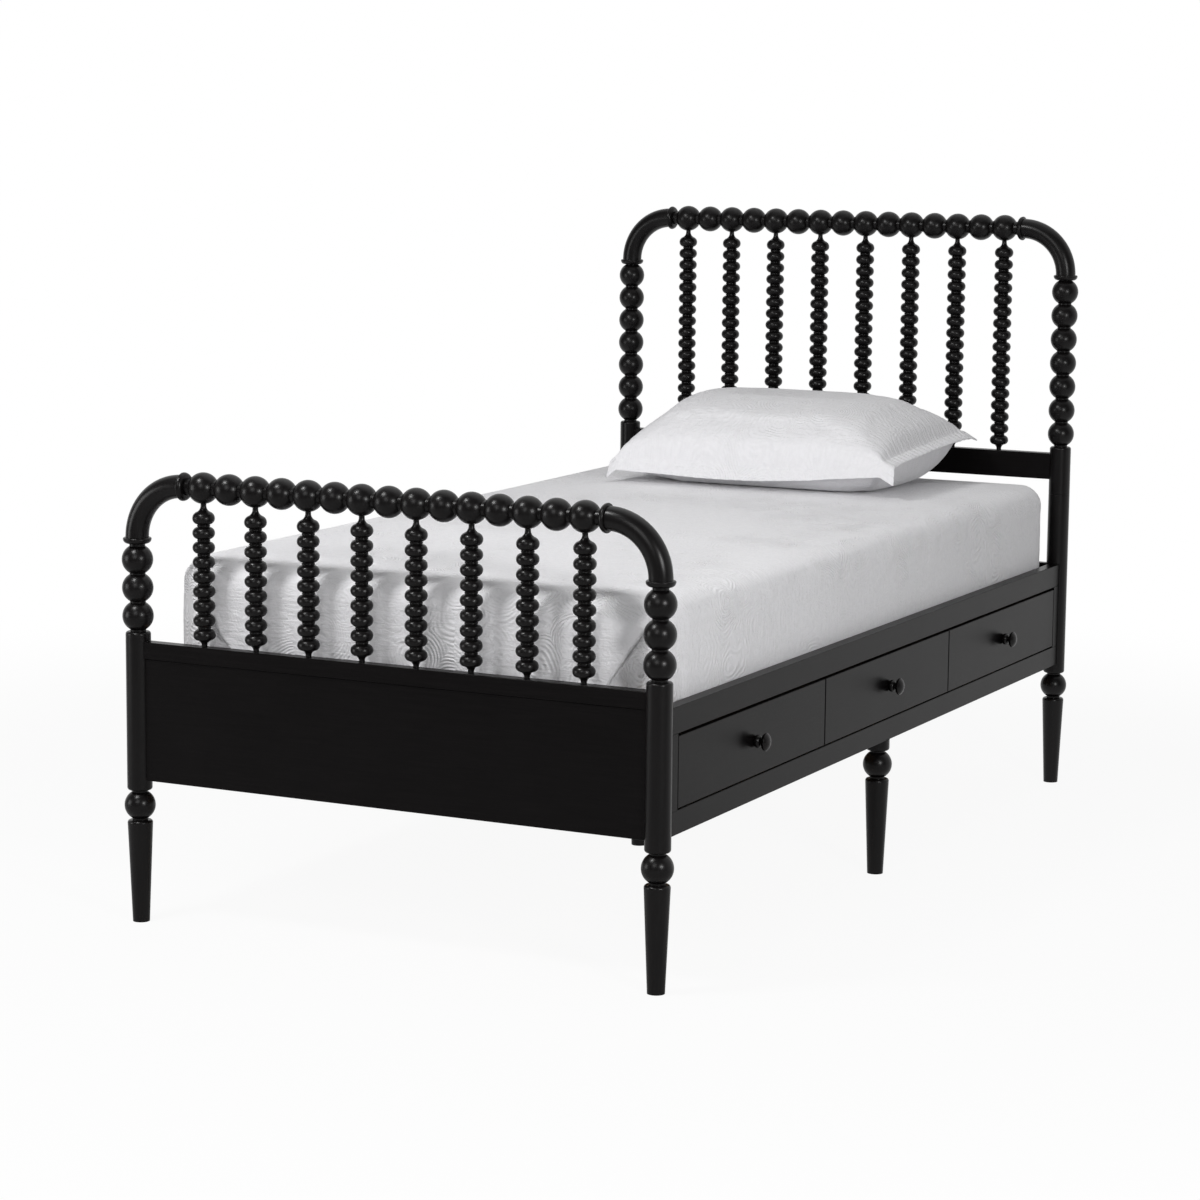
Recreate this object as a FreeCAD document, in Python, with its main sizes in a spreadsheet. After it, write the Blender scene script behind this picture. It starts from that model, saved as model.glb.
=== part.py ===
import FreeCAD, Part
import Sketcher
import math
import os

# A single bed with ball-turned posts, spindle ends, three drawers on its right side, a mattress
# and a pillow. Millimetres. +X is the drawer side, +Y the head, +Z up, and the origin lies on the
# floor midway between the four posts.

SIZES = {
    # Heights of the frame
    "foot_rail_height": 783,
    "head_rail_height": 1181,
    "head_joint_height": 623,
    "side_top": 474.5,
    "side_height": 215.5,
    # Turned balls, necks and posts
    "ball_diameter": 55,
    "neck_diameter": 27.8,
    "neck_length": 3.22,
    "post_diameter": 44.5,
    "post_cap": 8,
    "shoulder_round": 5,
    "post_ball_neck": 2.54,
    "rail_ball_neck": 5.38,
    "foot_collar_neck": 5.27,
    "head_collar_neck": 1.47,
    "joint_round": 1,
    # Legs
    "leg_foot_diameter": 30,
    "leg_top_diameter": 44.8,
    "leg_ball_drop": 48,
    "middle_leg_inset": 9,
    # Bent corner pieces and their collars
    "bend_radius": 95,
    "tube_diameter": 41,
    "collar_diameter": 50,
    "collar_height": 10,
    "collar_lip": 2.5,
    "collar_mouth_diameter": 28,
    # Round tenons, mortises and fits
    "tenon_diameter": 18,
    "tenon_length": 18,
    "mortise_seat": 14,
    "fit": 0.15,
    # Spindles
    "bead_diameter": 39.2,
    "bead_height": 21,
    "bead_neck_diameter": 21,
    "bead_ring_diameter": 23,
    "bead_ring_height": 3.4,
    "bead_neck_least": 0.5,
    "spindle_pin_diameter": 10,
    "spindle_pin_length": 12,
    "spindle_pin_show": 3,
    "spindle_top_end": 25,
    "spindle_bottom_end": 21,
    # Boards
    "rail_thickness": 24,
    "panel_thickness": 18,
    "board_edge": 1.5,
    "foot_flat_rail_height": 30,
    "foot_panel_drop": 2,
    "foot_panel_rise": 0.5,
    "head_panel_drop": 1,
    "head_panel_fall": 0.5,
    "head_flat_rail_rise": 31,
    "head_flat_rail_height": 55,
    # Slatted base
    "ledger_width": 24,
    "ledger_height": 30,
    "ledger_drop": 40.5,
    "ledger_end_gap": 4.5,
    "beam_width": 40,
    "beam_height": 60,
    "slat_count": 13,
    "slat_width": 70,
    "slat_thickness": 18,
    "slat_end_gap": 4,
    "slat_margin": 18,
    # Drawer bank
    "top_rail_height": 45.7,
    "bottom_rail_height": 41,
    "stile_width": 25.5,
    "end_reveal": 2,
    "front_gap": 3,
    "top_reveal": 4.8,
    "bottom_reveal": 2.5,
    "divider_thickness": 18,
    "divider_bottom_gap": 3,
    # Drawers and their slides
    "front_thickness": 18,
    "drawer_back_gap": 32,
    "drawer_top_gap": 6,
    "drawer_side_thickness": 12,
    "drawer_lift": 8,
    "bottom_thickness": 6,
    "bottom_lift": 8,
    "groove_depth": 5,
    "slide_space": 12.7,
    "slide_height": 35,
    "slide_wall": 1.5,
    "slide_lip": 10,
    "slide_clearance": 0.5,
    # Knobs
    "knob_diameter": 32,
    "knob_reach": 29,
    "knob_head_height": 12,
    "knob_rim_height": 5,
    "knob_neck_diameter": 11,
    "knob_collar_diameter": 23,
    "knob_collar_height": 12,
    "knob_base_diameter": 16,
    "knob_peg_diameter": 8,
    "knob_peg_length": 10,
    # Bedding
    "mattress_width": 986,
    "mattress_length": 1900,
    "mattress_height": 202,
    "mattress_foot_corner": 134,
    "mattress_head_corner": 50,
    "mattress_edge": 42,
    "mattress_tuck": 14,
    "mattress_crown": 8,
    "mattress_crown_inset": 240,
    "mattress_side_gap": 3,
    "mattress_foot_gap": 0.5,
    "mattress_head_gap": 3.5,
    "bedding_gap": 0.3,
    "pillow_width": 660,
    "pillow_length": 510,
    "pillow_height": 177,
    "pillow_flange": 25,
    "pillow_flange_thickness": 6,
    "pillow_seam_front": 20,
    "pillow_seam_back": 90,
    "pillow_corner": 18,
    "pillow_side_bow": 11,
    "pillow_end_bow": 8,
    "pillow_crown": 50,
    "pillow_base_taper": 120,
    "pillow_head_gap": 10,
    "pillow_offset": 12,
}

doc = FreeCAD.newDocument("platform_bed")
parts = []


class Size:
    # A number of millimetres together with the sheet expression that gives it.

    def __init__(self, value, text=None):
        self.value = float(value)
        self.text = text or f"{float(value)}"

    def __add__(self, other):
        other = asSize(other)
        return Size(self.value + other.value, f"({self.text} + {other.text})")

    def __sub__(self, other):
        other = asSize(other)
        return Size(self.value - other.value, f"({self.text} - {other.text})")

    def __mul__(self, other):
        other = asSize(other)
        return Size(self.value * other.value, f"({self.text} * {other.text})")

    def __truediv__(self, other):
        other = asSize(other)
        return Size(self.value / other.value, f"({self.text} / {other.text})")

    def __radd__(self, other):
        return asSize(other) + self

    def __rsub__(self, other):
        return asSize(other) - self

    def __rmul__(self, other):
        return asSize(other) * self

    def __neg__(self):
        return Size(-self.value, f"(-1 * {self.text})")


def asSize(item):
    return item if isinstance(item, Size) else Size(item)


def root(size):
    return Size(math.sqrt(size.value), f"sqrt({size.text})")


def bulge(depth, height):
    # Radius of the arc that rises by this depth over this height and ends upright.
    return (depth * depth + height * height) / (depth * 2)


def whole(length, step):
    # How many whole steps go into the length, none where it is short of one.
    return max(0, int(length.value // step.value))


def makeSheet(values):
    sheet = doc.addObject("Spreadsheet::Sheet", "sizes")
    for row, (alias, value) in enumerate(values.items(), start=1):
        sheet.set(f"A{row}", alias)
        sheet.set(f"B{row}", str(value))
        sheet.setAlias(f"B{row}", alias)
    doc.recompute()
    return {alias: Size(sheet.get(alias), f"sizes.{alias}") for alias in values}


size = makeSheet(SIZES)


def count(alias):
    return int(size[alias].value)


def bind(item, path, length):
    item.setExpression(path, asSize(length).text)


def vector(*lengths):
    return FreeCAD.Vector(*(asSize(length).value for length in lengths))


# Bodies, sketches and features

TURNS = {
    "up": FreeCAD.Rotation(),
    "right": FreeCAD.Rotation(FreeCAD.Vector(0, 1, 0), 90),
    "about": FreeCAD.Rotation(FreeCAD.Vector(0, 0, 1), 180),
}


def place(item, at, turn="up"):
    item.Placement = FreeCAD.Placement(vector(*at), TURNS[turn])
    for axis, length in zip("xyz", at):
        bind(item, f"Placement.Base.{axis}", length)


def newBody(label, at, turn="up"):
    body = doc.addObject("PartDesign::Body", label)
    body.Label = label
    body.AllowCompound = True
    place(body, at, turn)
    parts.append(body)
    return body


def originItem(body, role):
    return next(item for item in body.Origin.OriginFeatures if item.Role == role)


def newSketch(body, plane, lift=None, tilt=0):
    # A sketch on a plane of the body, lifted off it and tilted up away from its X axis by degrees.
    sketch = body.newObject("Sketcher::SketchObject", f"{body.Label}_sketch")
    sketch.AttachmentSupport = [(originItem(body, plane), "")]
    sketch.MapMode = "FlatFace"
    if lift is not None:
        slope = FreeCAD.Rotation(FreeCAD.Vector(1, 0, 0), tilt)
        sketch.AttachmentOffset = FreeCAD.Placement(vector(0, 0, lift), slope)
        bind(sketch, "AttachmentOffset.Base.z", lift)
    return sketch


class Outline:
    # A closed outline of lines and arcs. Every corner is held at its distances from the sketch
    # origin, every arc by its centre, and an arc's far end by one distance. A shallow drawn-in arc
    # is held by its ends and its radius.

    def __init__(self, x, y):
        self.corners = [(asSize(x), asSize(y))]
        self.centres = []
        self.clockwise = []
        self.radii = {}

    def lineTo(self, x, y):
        self.corners.append((asSize(x), asSize(y)))
        self.centres.append(None)
        self.clockwise.append(False)

    def arcTo(self, x, y, centreX, centreY, clockwise=False):
        self.corners.append((asSize(x), asSize(y)))
        self.centres.append((asSize(centreX), asSize(centreY)))
        self.clockwise.append(clockwise)

    def bowTo(self, x, y, half, bow):
        # An arc drawn in by the bow on a chord of twice the half length.
        start, end = vector(*self.corners[-1]), vector(x, y)
        radius = bulge(bow, half)
        along = (end - start).normalize()
        outward = FreeCAD.Vector(along.y, -along.x, 0) * (radius.value - bow.value)
        centre = (start + end) * 0.5 + outward
        self.radii[len(self.centres)] = radius
        self.arcTo(x, y, centre.x, centre.y, clockwise=True)

    def edge(self, index):
        start = vector(*self.corners[index])
        end = vector(*self.corners[(index + 1) % len(self.corners)])
        if self.centres[index] is None:
            return Part.LineSegment(start, end)
        centre = vector(*self.centres[index])
        if self.clockwise[index]:
            start, end = end, start
        circle = Part.Circle(centre, FreeCAD.Vector(0, 0, 1), start.distanceToPoint(centre))
        first = math.atan2(start.y - centre.y, start.x - centre.x)
        last = math.atan2(end.y - centre.y, end.x - centre.x)
        return Part.ArcOfCircle(circle, first, last if last > first else last + 2 * math.pi)

    def heldAxes(self, index):
        before = (index - 1) % len(self.centres)
        centre = self.centres[before]
        if centre is None or before in self.radii:
            return (0, 1)
        reach = vector(*self.corners[index]) - vector(*centre)
        return (0,) if abs(reach.y) > abs(reach.x) else (1,)

    def close(self, sketch):
        # Adds the outline to the sketch, with a line back to the first corner where none leads there.
        if [end.text for end in self.corners[-1]] == [start.text for start in self.corners[0]]:
            self.corners.pop()
        else:
            self.centres.append(None)
            self.clockwise.append(False)
        base = sketch.GeometryCount
        total = len(self.corners)
        sketch.addGeometry([self.edge(index) for index in range(total)], False)
        starts = [2 if turned else 1 for turned in self.clockwise]
        rules = []
        bound = {}

        def hold(edge, point, axis, length):
            if length.text == "0.0":
                rules.append(Sketcher.Constraint("PointOnObject", edge, point, -2 + axis))
                return
            kind = ("DistanceX", "DistanceY")[axis]
            bound[sketch.ConstraintCount + len(rules)] = length
            rules.append(Sketcher.Constraint(kind, -1, 1, edge, point, length.value))

        for index in range(total):
            after = (index + 1) % total
            ends = 3 - starts[index]
            rules.append(
                Sketcher.Constraint("Coincident", base + index, ends, base + after, starts[after])
            )
            for axis in self.heldAxes(index):
                hold(base + index, starts[index], axis, self.corners[index][axis])
            if index in self.radii:
                bound[sketch.ConstraintCount + len(rules)] = self.radii[index]
                rules.append(Sketcher.Constraint("Radius", base + index, self.radii[index].value))
            elif self.centres[index] is not None:
                for axis in (0, 1):
                    hold(base + index, 3, axis, self.centres[index][axis])
        sketch.addConstraint(rules)
        for number, length in bound.items():
            bind(sketch, f"Constraints[{number}]", length)


def rectangle(sketch, low, high):
    outline = Outline(low[0], low[1])
    outline.lineTo(high[0], low[1])
    outline.lineTo(high[0], high[1])
    outline.lineTo(low[0], high[1])
    outline.close(sketch)


def roundedRectangle(sketch, low, high, radius, bows=None, farRadius=None):
    # Its sides are straight, or drawn in by the two bows, first of the near and far sides. Its two
    # far corners may have a radius of their own.
    (left, near), (right, far) = low, high
    back = radius if farRadius is None else farRadius
    outline = Outline(left + radius, near)

    def side(x, y, span, bow):
        if bows is None:
            outline.lineTo(x, y)
        else:
            outline.bowTo(x, y, span / 2 - radius, bows[bow])

    side(right - radius, near, right - left, 0)
    outline.arcTo(right, near + radius, right - radius, near + radius)
    side(right, far - back, far - near, 1)
    outline.arcTo(right - back, far, right - back, far - back)
    side(left + back, far, right - left, 0)
    outline.arcTo(left, far - back, left + back, far - back)
    side(left, near + radius, far - near, 1)
    outline.arcTo(left + radius, near, left + radius, near + radius)
    outline.close(sketch)


def pad(body, sketch, length):
    feature = body.newObject("PartDesign::Pad", f"{body.Label}_pad")
    feature.Profile = sketch
    bind(feature, "Length", length)
    return feature


def revolve(body, sketch, axis="V_Axis", angle=360):
    feature = body.newObject("PartDesign::Revolution", f"{body.Label}_turning")
    feature.Profile = sketch
    feature.ReferenceAxis = (sketch, [axis])
    feature.Angle = angle
    return feature


def turn(body, outline):
    sketch = newSketch(body, "XZ_Plane")
    outline.close(sketch)
    return revolve(body, sketch)


def cutBox(body, low, high):
    cut = body.newObject("PartDesign::SubtractiveBox", f"{body.Label}_mortise")
    for side, start, end in zip(("Length", "Width", "Height"), low, high):
        bind(cut, side, asSize(end) - start)
    place(cut, low)
    return cut


def cutHole(body, at, diameter, depth, turn="up"):
    cut = body.newObject("PartDesign::SubtractiveCylinder", f"{body.Label}_hole")
    bind(cut, "Radius", diameter / 2)
    bind(cut, "Height", depth)
    place(cut, at, turn)
    return cut


def repeat(body, feature, axis, copies, pitch):
    # A row of one feature, or of all that the body holds so far where no feature is given.
    doc.recompute()
    pattern = body.newObject("PartDesign::LinearPattern", f"{body.Label}_row")
    if feature is None:
        pattern.TransformMode = "Whole shape"
    else:
        pattern.Originals = [feature]
    pattern.Direction = (originItem(body, axis), [""])
    pattern.Occurrences = copies
    bind(pattern, "Length", pitch * (copies - 1))
    body.Tip = pattern
    return pattern


def easeEdges(body, radius):
    base = body.Tip
    fillet = body.newObject("PartDesign::Fillet", f"{body.Label}_edges")
    fillet.Base = (base, ["Edge1"])
    fillet.UseAllEdges = True
    bind(fillet, "Radius", radius)
    return fillet


def board(label, xs, ys, zs, edge=None):
    # A plank between three pairs of limits, with its long edges eased where an edge is given.
    body = newBody(label, (xs[0], ys[0], zs[0]))
    sketch = newSketch(body, "XY_Plane")
    rectangle(sketch, (0, 0), (asSize(xs[1]) - xs[0], asSize(ys[1]) - ys[0]))
    pad(body, sketch, asSize(zs[1]) - zs[0])
    if edge is not None:
        easeEdges(body, edge)
    return body


# Places that several pieces share

OVERCUT = 1
fit = size["fit"]
ballRadius = size["ball_diameter"] / 2
neckRadius = size["neck_diameter"] / 2
ballReach = root(ballRadius * ballRadius - neckRadius * neckRadius)
ballPitch = ballReach * 2 + size["post_ball_neck"]
railPitch = ballReach * 2 + size["rail_ball_neck"]
postRadius = size["post_diameter"] / 2
shoulder = size["shoulder_round"]
tenonRadius = size["tenon_diameter"] / 2
tenonLength = size["tenon_length"]
bend = size["bend_radius"]
tubeRadius = size["tube_diameter"] / 2
collarHeight = size["collar_height"]
seat = size["mortise_seat"]
railHalf = size["rail_thickness"] / 2
panelHalf = size["panel_thickness"] / 2
edge = size["board_edge"]
mattressFoot = ballRadius + size["mattress_foot_gap"]
mattressHead = postRadius + size["mattress_head_gap"]
innerX = size["mattress_width"] / 2 + size["mattress_side_gap"]
halfX = innerX + railHalf
outerX = halfX + railHalf
halfY = (mattressFoot + size["mattress_length"] + mattressHead) / 2
sideTop = size["side_top"]
sideBottom = sideTop - size["side_height"]
footPanel = (sideBottom - size["foot_panel_drop"], sideTop + size["foot_panel_rise"])
footFlatRail = (footPanel[1], footPanel[1] + size["foot_flat_rail_height"])
headPanel = (sideBottom - size["head_panel_drop"], sideTop - size["head_panel_fall"])
headRailBottom = size["head_joint_height"] + size["head_flat_rail_rise"]
headFlatRail = (headRailBottom, headRailBottom + size["head_flat_rail_height"])
spindlePitch = railPitch * 2
railSpan = (halfX - bend - collarHeight) * 2
spindleCount = whole(railSpan - size["ball_diameter"], spindlePitch) + 1
railBalls = spindleCount * 2 - 1
firstSpindle = spindlePitch * (spindleCount - 1) / 2
ledgerTop = sideTop - size["ledger_drop"]
ledgerBottom = ledgerTop - size["ledger_height"]
slatTop = ledgerTop + size["slat_thickness"]


# Turned outlines, drawn from the axis outwards and then upwards


def addBall(outline, centre):
    outline.lineTo(neckRadius, centre - ballReach)
    outline.arcTo(neckRadius, centre + ballReach, 0, centre)


def addShoulderUp(outline, radius, top, rounding):
    outline.lineTo(radius, top - rounding)
    outline.arcTo(radius - rounding, top, radius - rounding, top - rounding)


def addShoulderDown(outline, radius, bottom, rounding):
    outline.lineTo(radius - rounding, bottom)
    outline.arcTo(radius, bottom + rounding, radius - rounding, bottom + rounding)


def addTenon(outline, bottom):
    outline.lineTo(tenonRadius, bottom)
    outline.lineTo(tenonRadius, bottom + tenonLength)
    outline.lineTo(0, bottom + tenonLength)


def legOutline():
    # The tapered leg, its ball and the foot of the straight post above it.
    outline = Outline(0, 0)
    legBall = sideBottom - size["leg_ball_drop"]
    legTop = legBall - ballReach - size["neck_length"]
    outline.lineTo(size["leg_foot_diameter"] / 2, 0)
    addShoulderUp(outline, size["leg_top_diameter"] / 2, legTop, shoulder)
    outline.lineTo(neckRadius, legTop)
    addBall(outline, legBall)
    postBottom = legBall + ballReach + size["neck_length"]
    outline.lineTo(neckRadius, postBottom)
    addShoulderDown(outline, postRadius, postBottom, shoulder)
    return outline


def addBallStack(outline, boardTop, collarNeck, collar):
    # The post's upper shoulder, as many balls as there is room for above the highest board that the
    # post takes, and the tenon that enters the bent corner above.
    ballsTop = collar - collarNeck
    room = ballsTop - size["neck_length"] - size["post_cap"] - boardTop
    balls = whole(room + size["post_ball_neck"], ballPitch)
    lowest = ballsTop - ballReach - ballPitch * (balls - 1)
    postTop = lowest - ballReach - size["neck_length"]
    addShoulderUp(outline, postRadius, postTop, shoulder)
    outline.lineTo(neckRadius, postTop)
    for number in range(balls):
        addBall(outline, lowest + ballPitch * number)
    outline.lineTo(neckRadius, collar)
    addTenon(outline, collar)


def collarMouth(railHeight):
    return railHeight - bend - collarHeight


def mortise(body, axis, sign, halfThickness, bottom, top):
    # A slot from the post's skin in to its seat, with the fit round the board that it takes.
    skin = postRadius + OVERCUT
    depth = (seat, skin) if sign > 0 else (-skin, -seat)
    half = halfThickness + fit
    across = (-half, half)
    xs, ys = (depth, across) if axis == "x" else (across, depth)
    cutBox(body, (xs[0], ys[0], bottom - fit), (xs[1], ys[1], top + fit))


def footPost(label, side):
    body = newBody(label, (side * halfX, -halfY, 0))
    outline = legOutline()
    addBallStack(outline, footFlatRail[1], size["foot_collar_neck"], collarMouth(size["foot_rail_height"]))
    turn(body, outline)
    mortise(body, "x", -side, railHalf, *footFlatRail)
    mortise(body, "x", -side, panelHalf, *footPanel)
    mortise(body, "y", 1, railHalf, sideBottom, sideTop)


def headLeg(label, side):
    body = newBody(label, (side * halfX, halfY, 0))
    outline = legOutline()
    joint = size["head_joint_height"]
    addShoulderUp(outline, postRadius, joint, size["joint_round"])
    addTenon(outline, joint)
    turn(body, outline)
    mortise(body, "x", -side, panelHalf, *headPanel)
    mortise(body, "y", -1, railHalf, sideBottom, sideTop)


def headPost(label, side):
    joint = size["head_joint_height"]
    body = newBody(label, (side * halfX, halfY, joint))
    outline = Outline(0, 0)
    addShoulderDown(outline, postRadius, asSize(0), size["joint_round"])
    collar = collarMouth(size["head_rail_height"]) - joint
    addBallStack(outline, headFlatRail[1] - joint, size["head_collar_neck"], collar)
    turn(body, outline)
    cutHole(body, (0, 0, 0), (tenonRadius + fit) * 2, tenonLength + fit)
    mortise(body, "x", -side, railHalf, headFlatRail[0] - joint, headFlatRail[1] - joint)


def standingLeg(label, x, top):
    body = newBody(label, (x, 0, 0))
    outline = legOutline()
    outline.lineTo(postRadius, top)
    outline.lineTo(0, top)
    turn(body, outline)


# Bent corners, ball rails and spindles


def collarOutline():
    radius = size["collar_diameter"] / 2
    mouth = size["collar_mouth_diameter"] / 2
    lip = size["collar_lip"]
    flare = bulge(radius - mouth, collarHeight - lip)
    outline = Outline(0, 0)
    outline.lineTo(mouth, 0)
    outline.arcTo(radius, collarHeight - lip, radius - flare, collarHeight - lip)
    outline.arcTo(radius - lip, collarHeight, radius - lip, collarHeight - lip)
    outline.lineTo(0, collarHeight)
    return outline


def elbow(label, side, y, height):
    # A quarter bend about its own origin, from the post at +X up to the rail at +Z.
    body = newBody(label, (side * (halfX - bend), y, height - bend), "up" if side > 0 else "about")
    sketch = newSketch(body, "XY_Plane")
    sketch.addGeometry(Part.Circle(vector(bend, 0, 0), FreeCAD.Vector(0, 0, 1), tubeRadius.value), False)
    sketch.addConstraint(
        [
            Sketcher.Constraint("PointOnObject", 0, 3, -1),
            Sketcher.Constraint("DistanceX", -1, 1, 0, 3, bend.value),
            Sketcher.Constraint("Radius", 0, tubeRadius.value),
        ]
    )
    bind(sketch, "Constraints[1]", bend)
    bind(sketch, "Constraints[2]", tubeRadius)
    revolve(body, sketch, angle=90).Reversed = True
    for spot, tilt in (((bend, -collarHeight), 0), ((-collarHeight, bend), -90)):
        sketch = newSketch(body, "XZ_Plane")
        spin = FreeCAD.Rotation(FreeCAD.Vector(0, 0, 1), tilt)
        sketch.AttachmentOffset = FreeCAD.Placement(vector(*spot, 0), spin)
        bind(sketch, "AttachmentOffset.Base.x", spot[0])
        bind(sketch, "AttachmentOffset.Base.y", spot[1])
        collarOutline().close(sketch)
        revolve(body, sketch)
    socket = (tenonRadius + fit) * 2
    cutHole(body, (bend, 0, -collarHeight), socket, tenonLength + fit)
    cutHole(body, (-collarHeight, 0, bend), socket, tenonLength + fit, "right")


def ballRail(label, y, height):
    # Turned along X from the left tenon's end, with a blind hole under every second ball.
    middle = railSpan / 2 + tenonLength
    body = newBody(label, (-middle, y, height), "right")
    first = middle - firstSpindle
    outline = Outline(0, 0)
    outline.lineTo(tenonRadius, 0)
    outline.lineTo(tenonRadius, tenonLength)
    outline.lineTo(neckRadius, tenonLength)
    for number in range(railBalls):
        addBall(outline, first + railPitch * number)
    outline.lineTo(neckRadius, middle * 2 - tenonLength)
    addTenon(outline, middle * 2 - tenonLength)
    turn(body, outline)
    depth = size["spindle_pin_length"] + fit
    diameter = size["spindle_pin_diameter"] + fit * 2
    hole = cutHole(body, (ballRadius - depth, 0, first), diameter, depth + OVERCUT, "right")
    repeat(body, hole, "Z_Axis", spindleCount, spindlePitch)


def addRingAndRise(outline, start, pitch):
    # From the neck of one bead, over the fine ring, up to the widest point of the next bead.
    radius = size["bead_diameter"] / 2
    waist = size["bead_neck_diameter"] / 2
    ring = size["bead_ring_diameter"] / 2
    half = size["bead_height"] / 2
    ringHalf = size["bead_ring_height"] / 2
    ringMiddle = start + pitch / 2 - half
    outline.lineTo(waist, start)
    outline.lineTo(waist, ringMiddle - ringHalf)
    outline.arcTo(waist, ringMiddle + ringHalf, ring - bulge(ring - waist, ringHalf), ringMiddle)
    outline.lineTo(waist, start + pitch - half * 2)
    outline.arcTo(radius, start + pitch - half, radius - bulge(radius - waist, half), start + pitch - half)


def addFall(outline, centre):
    # From the widest point of a bead up to its neck.
    radius = size["bead_diameter"] / 2
    waist = size["bead_neck_diameter"] / 2
    half = size["bead_height"] / 2
    outline.arcTo(waist, centre + half, radius - bulge(radius - waist, half), centre)


def spindles(label, y, railHeight, bottom):
    # Pins, two drop-shaped end beads and as many flat beads as fit between them, with a fine ring at
    # every neck.
    pinLength = size["spindle_pin_length"]
    pin = size["spindle_pin_diameter"] / 2
    radius = size["bead_diameter"] / 2
    top = pinLength + railHeight - ballRadius - bottom
    lowest = pinLength + size["spindle_bottom_end"]
    highest = top - size["spindle_top_end"]
    least = size["bead_height"] + size["bead_ring_height"] + size["bead_neck_least"]
    spaces = whole(highest - lowest, least)
    pitch = (highest - lowest) / spaces
    firstNeck = lowest + size["bead_height"] / 2
    body = newBody(label, (-firstSpindle, y, bottom - pinLength))

    drop = Outline(0, 0)
    flare = pinLength + size["spindle_pin_show"]
    sweep = bulge(radius - pin, lowest - flare) / 2
    drop.lineTo(pin, 0)
    drop.lineTo(pin, flare)
    drop.arcTo((radius + pin) / 2, (flare + lowest) / 2, pin + sweep, flare, clockwise=True)
    drop.arcTo(radius, lowest, radius - sweep, lowest)
    addFall(drop, lowest)
    drop.lineTo(0, firstNeck)
    turn(body, drop)

    bead = Outline(0, firstNeck)
    addRingAndRise(bead, firstNeck, pitch)
    addFall(bead, lowest + pitch)
    bead.lineTo(0, firstNeck + pitch)
    repeat(body, turn(body, bead), "Z_Axis", spaces - 1, pitch)

    drop = Outline(0, firstNeck + pitch * (spaces - 1))
    flare = top - size["spindle_pin_show"]
    sweep = bulge(radius - pin, flare - highest) / 2
    addRingAndRise(drop, firstNeck + pitch * (spaces - 1), pitch)
    drop.arcTo((radius + pin) / 2, (flare + highest) / 2, radius - sweep, highest)
    drop.arcTo(pin, flare, pin + sweep, flare, clockwise=True)
    drop.lineTo(pin, top + pinLength)
    drop.lineTo(0, top + pinLength)
    turn(body, drop)
    repeat(body, None, "X_Axis", spindleCount, spindlePitch)


def spindleRail(label, y, zs):
    body = board(label, (seat - halfX, halfX - seat), (y - railHalf, y + railHalf), zs, edge)
    depth = size["spindle_pin_length"] + fit
    start = halfX - seat - firstSpindle
    diameter = size["spindle_pin_diameter"] + fit * 2
    hole = cutHole(body, (start, railHalf, zs[1] - zs[0] - depth), diameter, depth + OVERCUT)
    repeat(body, hole, "X_Axis", spindleCount, spindlePitch)


def endPanel(label, y, zs):
    board(label, (seat - halfX, halfX - seat), (y - panelHalf, y + panelHalf), zs, edge)


def footEnd():
    height = size["foot_rail_height"]
    for name, side in (("left", -1), ("right", 1)):
        footPost(f"foot_post_{name}", side)
        elbow(f"foot_elbow_{name}", side, -halfY, height)
    ballRail("foot_ball_rail", -halfY, height)
    spindles("foot_spindles", -halfY, height, footFlatRail[1])
    spindleRail("foot_spindle_rail", -halfY, footFlatRail)
    endPanel("foot_panel", -halfY, footPanel)


def headEnd():
    height = size["head_rail_height"]
    for name, side in (("left", -1), ("right", 1)):
        headLeg(f"head_leg_{name}", side)
        headPost(f"head_post_{name}", side)
        elbow(f"head_elbow_{name}", side, halfY, height)
    ballRail("head_ball_rail", halfY, height)
    spindles("head_spindles", halfY, height, headFlatRail[1])
    spindleRail("head_spindle_rail", halfY, headFlatRail)
    endPanel("head_panel", halfY, headPanel)


# Sides, slatted base and drawer bank

DRAWERS = ("foot", "middle", "head")
opening = (sideBottom + size["bottom_rail_height"], sideTop - size["top_rail_height"])
openingHalf = halfY - postRadius - size["stile_width"]
reveals = size["end_reveal"] * 2 + size["front_gap"] * (len(DRAWERS) - 1)
frontWidth = (openingHalf * 2 - reveals) / len(DRAWERS)
drawerPitch = frontWidth + size["front_gap"]
dividerHalf = size["divider_thickness"] / 2
bayHalf = drawerPitch / 2 - dividerHalf
beamHalf = size["beam_width"] / 2


def sides():
    ys = (seat - halfY, halfY - seat)
    xs = (innerX, outerX)
    board("left_side_rail", (-outerX, -innerX), ys, (sideBottom, sideTop), edge)
    board("right_top_rail", xs, ys, (opening[1], sideTop), edge)
    board("right_bottom_rail", xs, ys, (sideBottom, opening[0]), edge)
    board("right_foot_stile", xs, (ys[0], -openingHalf), opening)
    board("right_head_stile", xs, (openingHalf, ys[1]), opening)
    standingLeg("right_middle_leg", halfX - size["middle_leg_inset"], sideBottom)


def slattedBase():
    end = halfY - postRadius - size["ledger_end_gap"]
    width = size["ledger_width"]
    zs = (ledgerBottom, ledgerTop)
    board("left_ledger", (-innerX, width - innerX), (-end, end), zs)
    board("right_ledger", (innerX - width, innerX), (-end, end), zs)
    beamEnd = halfY - panelHalf
    beamBottom = ledgerTop - size["beam_height"]
    board("centre_beam", (-beamHalf, beamHalf), (-beamEnd, beamEnd), (beamBottom, ledgerTop))
    standingLeg("centre_leg", asSize(0), beamBottom)
    slatEnd = innerX - size["slat_end_gap"]
    first = size["slat_margin"] - beamEnd
    slats = board("slats", (-slatEnd, slatEnd), (first, first + size["slat_width"]), (ledgerTop, slatTop))
    copies = count("slat_count")
    repeat(slats, slats.Tip, "Y_Axis", copies, (-first * 2 - size["slat_width"]) / (copies - 1))


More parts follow.
